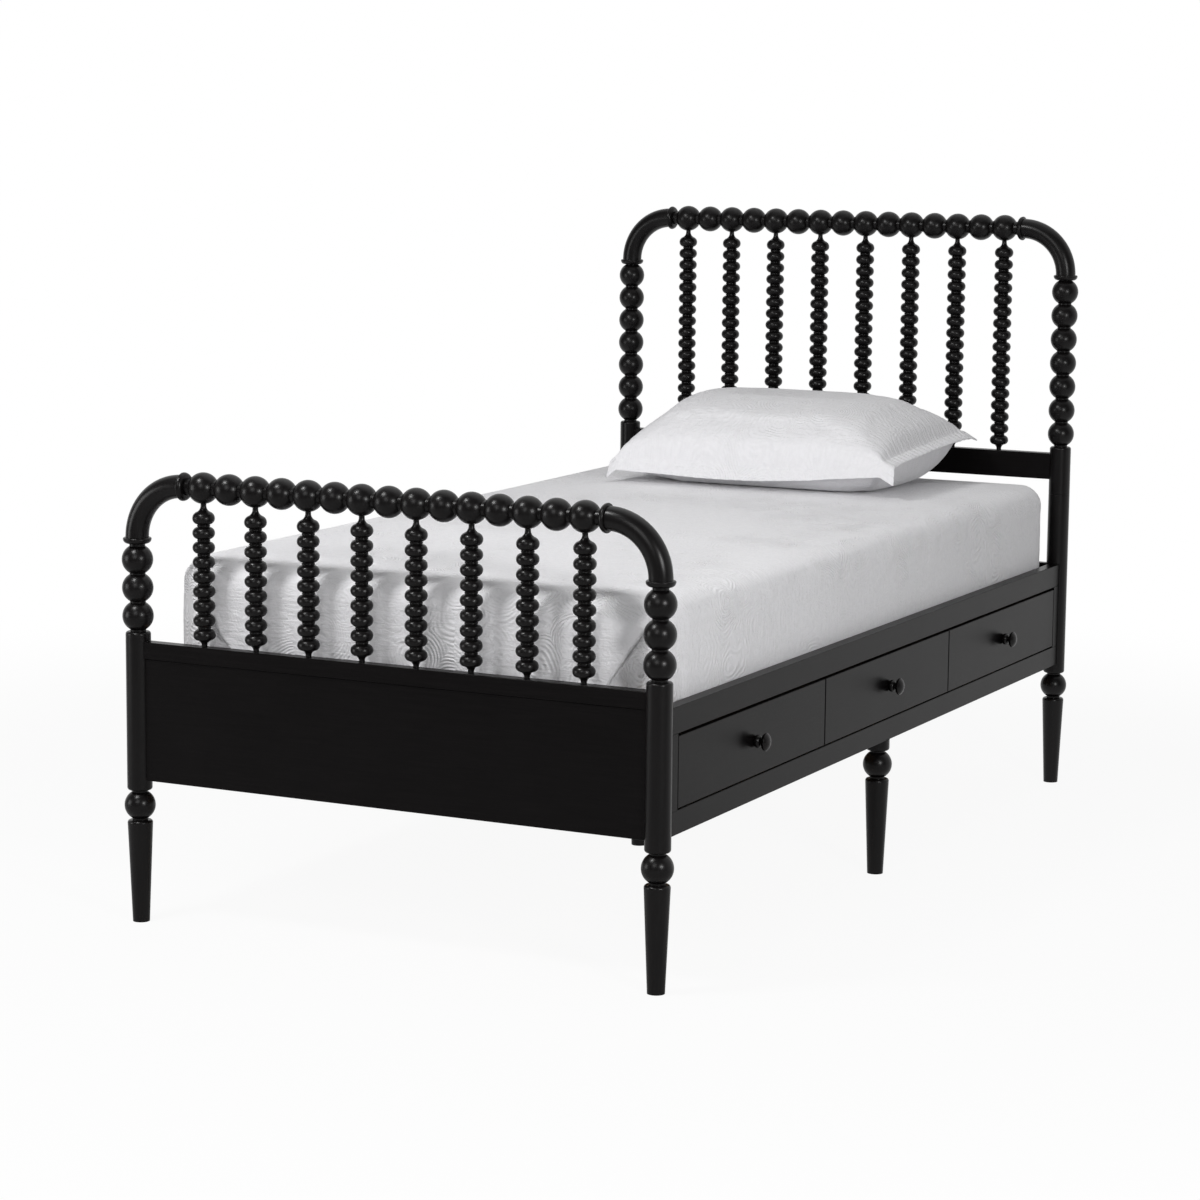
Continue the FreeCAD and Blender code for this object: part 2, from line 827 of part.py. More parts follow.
def drawerBank():
    zs = (sideBottom + size["divider_bottom_gap"], ledgerBottom)
    for number in range(len(DRAWERS) + 1):
        y = drawerPitch * (number - len(DRAWERS) / 2)
        board(f"drawer_divider_{number + 1}", (beamHalf, innerX), (y - dividerHalf, y + dividerHalf), zs)


# Drawers, each a front, a four-sided box, a knob and a pair of runners

frontBack = outerX - size["front_thickness"]
boxRear = beamHalf + size["drawer_back_gap"]
boxBottom = opening[0] + size["drawer_lift"]
boxTop = ledgerBottom - size["drawer_top_gap"]
boxHalf = bayHalf - size["slide_space"]
boxInner = boxHalf - size["drawer_side_thickness"]
bottomLow = boxBottom + size["bottom_lift"]
bottomHigh = bottomLow + size["bottom_thickness"]
groove = size["groove_depth"]
slideBottom = (boxBottom + boxTop - size["slide_height"]) / 2


def drawerFront(label, y):
    zs = (opening[0] + size["bottom_reveal"], opening[1] - size["top_reveal"])
    body = board(label, (frontBack, outerX), (y - frontWidth / 2, y + frontWidth / 2), zs, edge)
    low = frontWidth / 2 - boxInner - groove
    high = frontWidth / 2 + boxInner + groove
    cutBox(body, (-OVERCUT, low, bottomLow - fit - zs[0]), (groove, high, bottomHigh + fit - zs[0]))
    pegHole = size["knob_peg_diameter"] + fit * 2
    pegDepth = size["knob_peg_length"] + fit
    at = (size["front_thickness"] - pegDepth, frontWidth / 2, (zs[1] - zs[0]) / 2)
    cutHole(body, at, pegHole, pegDepth + OVERCUT, "right")
    return (zs[0] + zs[1]) / 2


def drawerSide(label, y, side):
    outer, inner = y + side * boxHalf, y + side * boxInner
    ys = (outer, inner) if side < 0 else (inner, outer)
    body = board(label, (boxRear, frontBack), ys, (boxBottom, boxTop))
    thickness = size["drawer_side_thickness"]
    depths = (thickness - groove, thickness + OVERCUT) if side < 0 else (asSize(-OVERCUT), groove)
    low = (-OVERCUT, depths[0], size["bottom_lift"] - fit)
    high = (frontBack - boxRear + OVERCUT, depths[1], bottomHigh + fit - boxBottom)
    cutBox(body, low, high)


def knobOutline():
    peg = size["knob_peg_diameter"] / 2
    face = size["knob_peg_length"]
    base = size["knob_base_diameter"] / 2
    collarTop = face + size["knob_collar_height"]
    collarBulge = bulge(size["knob_collar_diameter"] / 2 - base, size["knob_collar_height"] / 2)
    neck = size["knob_neck_diameter"] / 2
    head = size["knob_diameter"] / 2
    tip = face + size["knob_reach"]
    under = tip - size["knob_head_height"]
    rim = under + size["knob_rim_height"]
    cheek = bulge(head - neck, size["knob_rim_height"])
    dome = bulge(tip - rim, head)
    outline = Outline(0, 0)
    outline.lineTo(peg, 0)
    outline.lineTo(peg, face)
    outline.lineTo(base, face)
    middle = (face + collarTop) / 2
    outline.arcTo(base, collarTop, size["knob_collar_diameter"] / 2 - collarBulge, middle)
    outline.lineTo(neck, collarTop)
    outline.lineTo(neck, under)
    outline.arcTo(head, rim, head - cheek, rim)
    outline.arcTo(0, tip, 0, tip - dome)
    return outline


def runners(label, y):
    body = newBody(label, (boxRear, y - bayHalf, slideBottom))
    sketch = newSketch(body, "YZ_Plane")
    inset = size["slide_wall"] + size["slide_clearance"]
    space = size["slide_space"]
    top = size["slide_height"] - inset
    rectangle(sketch, (inset, inset), (space, top))
    rectangle(sketch, (bayHalf * 2 - space, inset), (bayHalf * 2 - inset, top))
    pad(body, sketch, innerX - boxRear)


def slideChannels():
    # The fixed halves of the slides, one channel on each side of every drawer bay.
    body = newBody("slide_channels", (boxRear, -(drawerPitch * len(DRAWERS)) / 2 + dividerHalf, slideBottom))
    sketch = newSketch(body, "YZ_Plane")
    wall, lip, top = size["slide_wall"], size["slide_lip"], size["slide_height"]
    bay = bayHalf * 2
    near = Outline(0, 0)
    near.lineTo(lip, 0)
    near.lineTo(lip, wall)
    near.lineTo(wall, wall)
    near.lineTo(wall, top - wall)
    near.lineTo(lip, top - wall)
    near.lineTo(lip, top)
    near.lineTo(0, top)
    near.close(sketch)
    far = Outline(bay - lip, 0)
    far.lineTo(bay, 0)
    far.lineTo(bay, top)
    far.lineTo(bay - lip, top)
    far.lineTo(bay - lip, top - wall)
    far.lineTo(bay - wall, top - wall)
    far.lineTo(bay - wall, wall)
    far.lineTo(bay - lip, wall)
    far.close(sketch)
    pair = pad(body, sketch, innerX - boxRear)
    repeat(body, pair, "Y_Axis", len(DRAWERS), drawerPitch)


def drawer(name, y):
    knobHeight = drawerFront(f"drawer_{name}_front", y)
    drawerSide(f"drawer_{name}_left_side", y, -1)
    drawerSide(f"drawer_{name}_right_side", y, 1)
    rear = (boxRear, boxRear + size["drawer_side_thickness"])
    board(f"drawer_{name}_back", rear, (y - boxInner, y + boxInner), (bottomHigh, boxTop))
    spread = boxInner + groove - fit
    xs = (boxRear, frontBack + groove - fit)
    board(f"drawer_{name}_bottom", xs, (y - spread, y + spread), (bottomLow, bottomHigh))
    knob = newBody(f"drawer_{name}_knob", (outerX - size["knob_peg_length"], y, knobHeight), "right")
    turn(knob, knobOutline())
    runners(f"drawer_{name}_runners", y)


# Bedding


def loft(body, corner, width, length, sections, bows=None, farCorner=None):
    # A skin through rounded rectangles, each given as its height, its inset and its tilt.
    sketches = []
    for height, inset, tilt in sections:
        sketch = newSketch(body, "XY_Plane", height, tilt)
        high = (width - inset, length - inset)
        roundedRectangle(sketch, (inset, inset), high, corner, bows, farCorner)
        sketches.append(sketch)
    skin = body.newObject("PartDesign::AdditiveLoft", f"{body.Label}_loft")
    skin.Profile = sketches[0]
    skin.Sections = sketches[1:]
    skin.Ruled = True


def mattress():
    width, length = size["mattress_width"], size["mattress_length"]
    body = newBody("mattress", (-width / 2, mattressFoot - halfY, slatTop + size["bedding_gap"]))
    tuck, rounding, crown = size["mattress_tuck"], size["mattress_edge"], size["mattress_crown"]
    height = size["mattress_height"]
    spring = height - crown - rounding
    sections = []
    for degrees in (90, 45, 0):
        angle = math.radians(degrees)
        sections.append((tuck - tuck * math.sin(angle), tuck * (1 - math.cos(angle)), 0))
    for degrees in (0, 15, 30, 45, 60, 75, 90):
        angle = math.radians(degrees)
        sections.append((spring + rounding * math.sin(angle), rounding * (1 - math.cos(angle)), 0))
    for share in (0.3, 0.65, 1):
        inset = rounding + (size["mattress_crown_inset"] - rounding) * share
        sections.append((height - crown + crown * share * (2 - share), inset, 0))
    corners = (size["mattress_foot_corner"], size["mattress_head_corner"])
    loft(body, corners[0], width, length, sections, farCorner=corners[1])


def pillow():
    # Its seam rises from the front to the back, its crown is level, and its sides are drawn in.
    width, length = size["pillow_width"], size["pillow_length"]
    flange, corner, height = size["pillow_flange"], size["pillow_corner"], size["pillow_height"]
    seams = (size["pillow_seam_front"], size["pillow_seam_back"])
    topTaper = (length - size["pillow_crown"]) / 2 - flange
    bows = (size["pillow_side_bow"], size["pillow_end_bow"])
    head = halfY - ballRadius - size["pillow_head_gap"]
    top = slatTop + size["bedding_gap"] * 2 + size["mattress_height"]
    body = newBody("pillow", (size["pillow_offset"] - width / 2, head - length, top))

    def slope(front, back):
        return math.degrees(math.atan2((back - front).value, length.value))

    sections = []
    for degrees in (-90, -65, -40, -20, 0, 15, 30, 45, 60, 75, 90):
        lift, spread = math.sin(math.radians(degrees)), math.cos(math.radians(degrees))
        if degrees < 0:
            front, back = (seam * (1 + lift) for seam in seams)
            taper = size["pillow_base_taper"]
        else:
            front, back = (seam + (height - seam) * lift for seam in seams)
            taper = topTaper
        sections.append((front, flange + taper * (1 - spread), slope(front, back)))
    loft(body, corner, width, length, sections, bows)
    half = size["pillow_flange_thickness"] / 2
    sketch = newSketch(body, "XY_Plane", seams[0] - half, slope(*seams))
    roundedRectangle(sketch, (asSize(0), asSize(0)), (width, length), corner, bows)
    pad(body, sketch, half * 2)


def checkAndWrite():
    doc.recompute()
    failed = [item.Name for item in doc.Objects if {"Invalid", "Error"} & set(item.State)]
    failed += [part.Label for part in parts if part.Shape.isNull() or not part.Shape.isValid()]
    if failed:
        raise RuntimeError(f"these objects failed: {failed}")
    os.makedirs("parts", exist_ok=True)
    for part in parts:
        part.Shape.exportStep(f"parts/{part.Label}.step")
    print(f"{len(parts)} sub-parts written")


footEnd()
headEnd()
sides()
slattedBase()
drawerBank()
slideChannels()
for number, name in enumerate(DRAWERS):
    drawer(name, drawerPitch * (number - (len(DRAWERS) - 1) / 2))
mattress()
pillow()
checkAndWrite()
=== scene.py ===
import math

import bmesh
import bpy
from mathutils import Matrix, Vector, noise


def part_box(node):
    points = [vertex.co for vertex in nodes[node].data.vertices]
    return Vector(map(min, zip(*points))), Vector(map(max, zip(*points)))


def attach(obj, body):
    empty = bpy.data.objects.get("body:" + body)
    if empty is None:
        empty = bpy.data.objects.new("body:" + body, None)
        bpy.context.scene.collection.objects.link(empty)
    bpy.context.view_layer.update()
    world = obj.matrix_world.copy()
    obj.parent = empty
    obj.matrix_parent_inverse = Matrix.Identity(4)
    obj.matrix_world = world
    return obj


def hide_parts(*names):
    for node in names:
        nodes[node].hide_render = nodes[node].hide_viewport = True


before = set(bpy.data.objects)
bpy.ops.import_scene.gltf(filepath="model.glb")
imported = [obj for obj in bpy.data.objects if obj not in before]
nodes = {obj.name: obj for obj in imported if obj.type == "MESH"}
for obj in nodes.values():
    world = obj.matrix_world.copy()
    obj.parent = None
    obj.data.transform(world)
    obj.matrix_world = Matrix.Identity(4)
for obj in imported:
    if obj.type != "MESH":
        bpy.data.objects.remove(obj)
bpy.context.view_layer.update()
print("frame loaded,", len(nodes), "nodes")


# Camera at the photograph's place, found from the posts, rails and legs

cameraView = {
    "eye": (2.8716, -5.9175, 1.5008),
    "right": (0.89349, 0.44898, 0.00951),
    "up": (-0.07694, 0.13219, 0.98823),
    "lens": 102.70,
    "sensor": 36.0,
    "farthest": 100.0,
}


def makeCamera():
    data = bpy.data.cameras.new("camera")
    data.lens = cameraView["lens"]
    data.sensor_width = cameraView["sensor"]
    data.clip_end = cameraView["farthest"]
    camera = bpy.data.objects.new("camera", data)
    bpy.context.scene.collection.objects.link(camera)
    right, up = Vector(cameraView["right"]), Vector(cameraView["up"])
    axes = Matrix((right, up, right.cross(up))).transposed()
    camera.matrix_world = Matrix.Translation(cameraView["eye"]) @ axes.to_4x4()
    bpy.context.scene.camera = camera


makeCamera()
bpy.context.scene.view_settings.view_transform = "Standard"
print("camera made")


# Shader nodes

class Value:  # a socket that takes part in sums
    def __init__(self, shade, socket):
        self.shade, self.socket = shade, socket

    def math(self, operation, *inputs):
        return self.shade.node("Math", {"operation": operation}, inputs)

    def __add__(self, other):
        return self.math("ADD", self, other)

    def __sub__(self, other):
        return self.math("SUBTRACT", self, other)

    def __rsub__(self, other):
        return self.math("SUBTRACT", other, self)

    def __mul__(self, other):
        return self.math("MULTIPLY", self, other)

    __radd__ = __add__
    __rmul__ = __mul__

    def sine(self):
        return self.math("SINE", self)

    def wave(self):  # a sine from 0 to 1
        return self.sine() * 0.5 + 0.5

    def unsigned(self):
        return self.math("ABSOLUTE", self)

    def least(self, other):
        return self.math("MINIMUM", self, other)

    def most(self, other):
        return self.math("MAXIMUM", self, other)

    def between(self, low, high):  # 0 at low, 1 at high, smooth between
        settings = {"interpolation_type": "SMOOTHSTEP"}
        return self.shade.node("MapRange", settings, (self, low, high, 0.0, 1.0))


class Shade:  # a node tree of a material or of the world
    def __init__(self, owner):
        owner.use_nodes = True
        self.owner = owner
        self.tree = owner.node_tree
        self.tree.nodes.clear()

    def node(self, kind, settings=None, inputs=(), out=0):
        made = self.tree.nodes.new("ShaderNode" + kind)
        for key, setting in (settings or {}).items():
            setattr(made, key, setting)
        sockets = inputs if isinstance(inputs, dict) else dict(enumerate(inputs))
        for key, given in sockets.items():
            if isinstance(given, Value):
                self.tree.links.new(given.socket, made.inputs[key])
            else:
                made.inputs[key].default_value = given
        return Value(self, made.outputs[out]) if made.outputs else None

    def mixed(self, share, first, second):
        colours = [c if isinstance(c, Value) else (*c, 1.0) for c in (first, second)]
        sockets = {0: share, 6: colours[0], 7: colours[1]}  # the factor and the two colours
        return self.node("Mix", {"data_type": "RGBA"}, sockets, 2)

    def place(self, scale=(1.0, 1.0, 1.0), turn=(0.0, 0.0, 0.0), coordinates="Object"):
        spot = self.node("TexCoord", out=coordinates)
        return self.node("Mapping", None, {"Vector": spot, "Scale": scale, "Rotation": turn})

    def part(self, spot, axis):
        return self.node("SeparateXYZ", None, (spot,), "xyz".index(axis))

    def noise(self, spot, scale=1.0, detail=2.0, roughness=0.5, distortion=0.0):
        sockets = {"Vector": spot, "Scale": scale, "Detail": detail}
        return self.node("TexNoise", None, {**sockets, "Roughness": roughness, "Distortion": distortion})

    def bump(self, height, distance):
        return self.node("Bump", None, {"Height": height, "Distance": distance, "Strength": 1.0})

    def finish(self, sockets):
        surface = self.node("BsdfPrincipled", None, sockets)
        self.node("OutputMaterial", None, {"Surface": surface})
        return self.owner


def newShade(name):
    return Shade(bpy.data.materials.new(name))


def stretched(axis, rates):  # a pattern's scale, from its rates across and along the grain
    across, along = rates
    return tuple(along if axis == letter else across for letter in "xyz")


# Finishes, with patterns counted in a metre

lacquer = {
    "black": (0.0024, 0.0020, 0.0021),
    "bloom": (0.0050, 0.0043, 0.0044),  # where the grain takes the lacquer thinner
    "bloomEdge": (0.35, 0.75),
    "bloomShare": {"fibre": 0.6, "cloud": 0.4},
    "fibres": (420.0, 9.0),  # across and along the grain
    "pores": (1300.0, 60.0),
    "poreEdge": (0.60, 0.72),
    "clouds": 9.0,
    "peel": 260.0,  # fine waves of the sprayed coat
    "relief": {"fibre": 0.7, "pore": 0.8, "peel": 0.15},
    "depth": 0.00004,
    "roughness": 0.30,
    "cloudRoughness": 0.08,
    "poreRoughness": 0.06,
    "coat": 0.06,
    "coatRoughness": 0.24,
}
lacquerWork = {  # how much smoother than the rest each kind of work is, and how much grain it keeps
    "board": {"specular": 0.045, "smoother": 0.0, "grain": 1.0},
    "turned": {"specular": 0.15, "smoother": 0.0, "grain": 0.3},
    "knob": {"specular": 0.15, "smoother": 0.04, "grain": 0.3},
}


def makeLacquer(name, axis, work):
    shade = newShade(name)
    fibreSpot = shade.place(stretched(axis, lacquer["fibres"]))
    fibre = shade.noise(fibreSpot, detail=3.0, roughness=0.6, distortion=0.3)
    poreSpot = shade.place(stretched(axis, lacquer["pores"]))
    pore = shade.noise(poreSpot, detail=1.0).between(*lacquer["poreEdge"])
    cloud = shade.noise(shade.place(), lacquer["clouds"], detail=3.0)
    peel = shade.noise(shade.place(), lacquer["peel"], detail=1.0)
    relief, share = lacquer["relief"], lacquer["bloomShare"]
    height = fibre * relief["fibre"] - pore * relief["pore"] + peel * relief["peel"]
    tone = fibre.between(*lacquer["bloomEdge"]) * share["fibre"] + cloud * share["cloud"]
    roughness = lacquer["roughness"] - work["smoother"] + (cloud - 0.5) * lacquer["cloudRoughness"]
    return shade.finish({
        "Base Color": shade.mixed(tone, lacquer["black"], lacquer["bloom"]),
        "Roughness": roughness + pore * lacquer["poreRoughness"],
        "Specular IOR Level": work["specular"],
        "Coat Weight": lacquer["coat"],
        "Coat Roughness": lacquer["coatRoughness"],
        "Normal": shade.bump(height, lacquer["depth"] * work["grain"]),
    })


plainWood = {
    "pale": (0.56, 0.39, 0.235),
    "ring": (0.40, 0.245, 0.125),
    "freckle": (0.30, 0.17, 0.08),
    "rings": 55.0,
    "bends": (5.0, 0.9),  # of the rings, across and along the grain
    "bendTurn": 24.0,
    "fibres": (520.0, 7.0),
    "fibreEdge": (0.3, 0.8),
    "freckles": (240.0, 30.0),
    "freckleEdge": (0.68, 0.78),
    "toneShare": {"ring": 0.45, "fibre": 0.4, "freckle": 0.5},
    "relief": {"ring": 0.3, "fibre": 0.7},
    "depth": 0.0002,
    "roughness": 0.56,
    "fibreRoughness": 0.12,
}


def makePlainWood(name, axis):
    shade = newShade(name)
    relief, share = plainWood["relief"], plainWood["toneShare"]
    bend = shade.noise(shade.place(stretched(axis, plainWood["bends"])), detail=3.0)
    across = shade.part(shade.place(), "y" if axis == "x" else "x")
    ring = (across * plainWood["rings"] * math.tau + bend * plainWood["bendTurn"]).wave()
    fibre = shade.noise(shade.place(stretched(axis, plainWood["fibres"])), detail=3.0, roughness=0.6)
    tone = ring * share["ring"] + fibre.between(*plainWood["fibreEdge"]) * share["fibre"]
    colour = shade.mixed(tone, plainWood["pale"], plainWood["ring"])
    freckle = shade.noise(shade.place(stretched(axis, plainWood["freckles"])), detail=1.0)
    freckle = freckle.between(*plainWood["freckleEdge"]) * share["freckle"]
    return shade.finish({
        "Base Color": shade.mixed(freckle, colour, plainWood["freckle"]),
        "Roughness": plainWood["roughness"] + fibre * plainWood["fibreRoughness"],
        "Normal": shade.bump(fibre * relief["fibre"] + ring * relief["ring"], plainWood["depth"]),
    })


slideSteel = {
    "zinc": (0.58, 0.60, 0.62),
    "dull": (0.42, 0.43, 0.44),
    "dullShare": {"spangle": 0.6, "drawn": 0.3},
    "drawLines": (900.0, 6.0),  # across and along the slide
    "spangles": 70.0,
    "depth": 0.00005,
    "roughness": 0.30,
    "drawnRoughness": 0.12,
}


def makeSlideSteel():
    shade = newShade("slideSteel")
    drawn = shade.noise(shade.place(stretched("x", slideSteel["drawLines"])))
    spangle = shade.noise(shade.place(), slideSteel["spangles"])
    share = slideSteel["dullShare"]
    tone = spangle * share["spangle"] + drawn * share["drawn"]
    return shade.finish({
        "Base Color": shade.mixed(tone, slideSteel["zinc"], slideSteel["dull"]),
        "Metallic": 1.0,
        "Roughness": slideSteel["roughness"] + drawn * slideSteel["drawnRoughness"],
        "Normal": shade.bump(drawn, slideSteel["depth"]),
    })


matelasse = {
    "white": (0.80, 0.795, 0.815),
    "hollowShade": (0.76, 0.755, 0.775),  # painted shade, between the raised lines
    "toneShare": {"ridge": 0.12, "pucker": 0.88},
    "hollowShadeEdge": (0.25, 0.7),
    "swirls": 11.0,
    "swirlLines": 96.0,  # raised lines round a swirl
    "bends": 9.0,  # of the swirls
    "bendSize": 0.06,
    "patches": 3.1,  # where the lines come out more
    "patchEdge": (0.40, 0.62),
    "leastLines": 0.1,
    "puckers": 85.0,
    "creases": (24.0, 150.0, 1.0),
    "threads": 1150.0,
    "bias": 0.785,  # turn of the threads
    "relief": {"ridge": 0.45, "pucker": 0.7, "crease": 0.8, "weave": 0.03},
    "depth": 0.0027,
    "roughness": 0.86,
    "puckerRoughness": 0.08,
    "sheen": 0.25,
    "sheenRoughness": 0.5,
}


def makeMatelasse(name, lines=1.0, paintedShadeScale=1.0):
    shade = newShade(name)
    cloth = shade.place(coordinates="UV")
    bend = shade.node("TexNoise", None, {"Vector": cloth, "Scale": matelasse["bends"], "Detail": 1.0}, 1)
    bend = shade.node("VectorMath", {"operation": "SCALE"}, {0: bend, "Scale": matelasse["bendSize"]})
    bent = shade.node("VectorMath", {"operation": "ADD"}, (cloth, bend))
    swirl = shade.node("TexVoronoi", None, {"Vector": bent, "Scale": matelasse["swirls"]})
    ridge = (swirl * matelasse["swirlLines"]).wave()
    patch = shade.noise(cloth, matelasse["patches"], detail=1.0).between(*matelasse["patchEdge"])
    raised = ridge * (matelasse["leastLines"] + (1 - matelasse["leastLines"]) * patch) * lines
    pucker = shade.noise(cloth, matelasse["puckers"], roughness=0.55, distortion=0.8)
    crease = shade.noise(shade.place(matelasse["creases"], coordinates="UV"), distortion=0.6)
    threads = shade.place((matelasse["threads"],) * 3, (0.0, 0.0, matelasse["bias"]), "UV")
    weave = shade.node("TexChecker", None, {"Vector": threads, "Scale": 1.0}, 1)
    relief, share = matelasse["relief"], matelasse["toneShare"]
    height = raised * relief["ridge"] + pucker * relief["pucker"]
    height = height + crease * relief["crease"] + weave * relief["weave"]
    # the colour darkens where the raised lines and puckers sink: painted shade in the hollows of the relief
    tone = (ridge * share["ridge"] + pucker * share["pucker"]).between(*matelasse["hollowShadeEdge"])
    # the colours are scaled down for the sham: painted shade that renders the pillow darker than the same
    # cloth on the coverlet
    hollowShade, white = [[c * paintedShadeScale for c in matelasse[colour]] for colour in ("hollowShade", "white")]
    return shade.finish({
        "Base Color": shade.mixed(tone, hollowShade, white),
        "Roughness": matelasse["roughness"] + pucker * matelasse["puckerRoughness"],
        "Sheen Weight": matelasse["sheen"],
        "Sheen Roughness": matelasse["sheenRoughness"],
        "Normal": shade.bump(height, matelasse["depth"]),
    })


ticking = {
    "cream": (0.66, 0.64, 0.60),
    "grey": (0.50, 0.49, 0.48),
    "greyShare": {"stripe": 0.5, "weave": 0.2},
    "quilt": 21.0,  # sewn lines each way
    "seamEdge": (0.0, 0.5),
    "stripeTurn": 420.0,  # radians in a metre
    "stripeEdge": (0.2, 0.5),
    "threads": 900.0,
    "weaveRelief": 0.03,
    "depth": 0.004,
    "roughness": 0.9,
    "weaveShine": 0.1,
}


def makeTicking():
    shade = newShade("ticking")
    spot = shade.place()
    x, y = shade.part(spot, "x"), shade.part(spot, "y")
    lines = [((x + y * lean) * ticking["quilt"] * math.pi).sine().unsigned() for lean in (1.0, -1.0)]
    seam = lines[0].least(lines[1]).between(*ticking["seamEdge"])
    stripe = (x * ticking["stripeTurn"]).sine().between(*ticking["stripeEdge"])
    weave = shade.noise(spot, ticking["threads"], detail=1.0)
    share = ticking["greyShare"]
    tone = stripe * share["stripe"] + weave * share["weave"]
    return shade.finish({
        "Base Color": shade.mixed(tone, ticking["cream"], ticking["grey"]),
        "Roughness": ticking["roughness"] - weave * ticking["weaveShine"],
        "Normal": shade.bump(seam + weave * ticking["weaveRelief"], ticking["depth"]),
    })


nodeFinishes = {  # by words in a node's name, tried in this order
    "lacquer_board_x": ("foot_panel", "head_panel", "spindle_rail"),
    "lacquer_board_y": ("side_rail", "top_rail", "bottom_rail", "_front"),
    "lacquer_board_z": ("stile",),
    "slideSteel": ("runners", "channels"),
    "lacquer_knob": ("knob",),
    "plain_wood_x": ("slats", "divider", "_left_side", "_right_side"),
    "plain_wood_y": ("drawer", "ledger", "beam"),
    "lacquer_turned": ("",),  # all that is left
}


def dressFrame():
    for axis in "xyz":
        makeLacquer("lacquer_board_" + axis, axis, lacquerWork["board"])
    makeLacquer("lacquer_turned", "z", lacquerWork["turned"])
    makeLacquer("lacquer_knob", "x", lacquerWork["knob"])
    for axis in "xy":
        makePlainWood("plain_wood_" + axis, axis)
    makeSlideSteel()
    for name, piece in nodes.items():
        finish = next(f for f, words in nodeFinishes.items() if any(word in name for word in words))
        piece.data.materials.clear()
        piece.data.materials.append(bpy.data.materials[finish])


dressFrame()
print("frame dressed")


# Meshes and cloth

def addPiece(name, mesh, material):
    piece = bpy.data.objects.new(name, mesh)
    bpy.context.scene.collection.objects.link(piece)
    mesh.materials.append(material)
    mesh.shade_smooth()
    return piece


def asMesh(bm, name):
    mesh = bpy.data.meshes.new(name)
    bm.to_mesh(mesh)
    bm.free()
    return mesh


def applied(piece):  # the piece with its modifiers made real
    graph = bpy.context.evaluated_depsgraph_get()
    mesh = bpy.data.meshes.new_from_object(piece.evaluated_get(graph))
    piece.modifiers.clear()
    piece.data = mesh
    return piece


def thickened(piece, thickness):  # inwards, so that the outer face stays
    layer = piece.modifiers.new("thickness", "SOLIDIFY")
    layer.thickness = thickness
    layer.offset = -1.0
    return applied(piece)


def addGrid(bm, cells, half, level=0.0):
    across, along = cells
    place = Matrix.Translation((0.0, 0.0, level))
    bmesh.ops.create_grid(bm, x_segments=across, y_segments=along, size=half, matrix=place)


def layPattern(bm, flats):  # each point's place on the flat cloth, in metres, as its UV
    layer = bm.loops.layers.uv.new("cloth")
    bm.verts.index_update()
    for face in bm.faces:
        for loop in face.loops:
            loop[layer].uv = flats[loop.vert.index]


def smooth(share):  # 0 to 1 with level ends
    share = min(1.0, max(0.0, share))
    return share * share * (3 - 2 * share)


def blend(first, second, share):
    return first * (1 - share) + second * share


def unevenness(flat, swell):  # from -1 to 1, slow or quick over the flat cloth
    across, along = swell["perMetre"]
    return noise.noise(Vector((flat.x * across, flat.y * along, swell["seed"])))


def rippleAt(across, down, ripple):  # from -1 to 1, in upright folds that change on their way down
    change = ripple["start"] + down * ripple["change"]
    return noise.noise(Vector((across / ripple["pitch"], change, ripple["seed"])))


# Mattress under its coverlet

mattressForm = {
    "footCorner": 0.134,
    "headCorner": 0.050,
    "cornerFaces": 8,
    "topRound": 0.042,
    "footRound": 0.014,
    "roundFaces": 6,
    "inset": 0.005,  # of the pad under the coverlet
    "underside": 0.001,  # of the pad, over the box
    "crown": 0.008,
    "crownRim": 0.030,  # level margin round the crown
    "crownReach": 0.240,
}
mattressLow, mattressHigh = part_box("mattress")
mattressMiddle = (mattressLow + mattressHigh) / 2
mattressHalf = (mattressHigh - mattressLow) / 2


def edgesAt(bm, axis, level):  # the edges that lie wholly at this level
    near = 1e-5
    return [e for e in bm.edges if all(abs(v.co[axis] - level) < near for v in e.verts)]


def makeMattress(material):
    form = mattressForm
    inset = Vector((form["inset"],) * 3)
    low, high = mattressLow + inset, mattressHigh - inset
    low.z = mattressLow.z + form["underside"]
    high.z -= form["crown"]
    bm = bmesh.new()
    bmesh.ops.create_cube(bm, size=1.0)
    bmesh.ops.scale(bm, vec=high - low, verts=bm.verts)
    bmesh.ops.translate(bm, vec=(low + high) / 2, verts=bm.verts)
    settings = {"affect": "EDGES", "profile": 0.5, "material": -1}
    for end, radius in ((low.y, form["footCorner"]), (high.y, form["headCorner"])):
        level = edgesAt(bm, 2, low.z) + edgesAt(bm, 2, high.z)
        upright = [e for e in edgesAt(bm, 1, end) if e not in level]
        bmesh.ops.bevel(bm, geom=upright, offset=radius, segments=form["cornerFaces"], **settings)
    for height, radius in ((high.z, form["topRound"]), (low.z, form["footRound"])):
        rim = edgesAt(bm, 2, height)
        bmesh.ops.bevel(bm, geom=rim, offset=radius, segments=form["roundFaces"], **settings)
    return addPiece("mattressPad", asMesh(bm, "mattressPad"), material)


coverlet = {
    "cells": (150, 240),
    "tuck": 0.075,  # under the mattress, besides some slack
    "thickness": 0.0025,
    "skin": 0.0012,  # how far inside the mattress box it lies
    "topWave": {"height": 0.0016, "level": 0.4, "perMetre": (3.1, 2.3), "seed": 1.7},
    "sideSwell": {"depth": 0.0025, "perMetre": (4.0, 4.0), "seed": 4.2},
    "footRipple": {"depth": 0.0030, "pitch": 0.085, "start": 0.4, "change": 1.5, "seed": 8.8, "border": 0.02},
    "cornerPleat": {"depth": 0.0018, "inTurn": 26.0, "bend": 2.0, "bendsPerMetre": 5.0, "reach": 0.16},
    "rimCrinkle": {"depth": 0.0035, "perMetre": (30.0, 30.0), "seed": 3.3, "down": 0.034, "width": 0.030},
    "wallStart": 0.05,  # over which the side's folds grow, down from the top
    "wallEnd": (0.012, 0.04),  # and fade, up from the underside
    "mostPush": 0.003,
    "railPush": 0.0008,  # the most beside the rails
    "railHeight": 0.030,
}


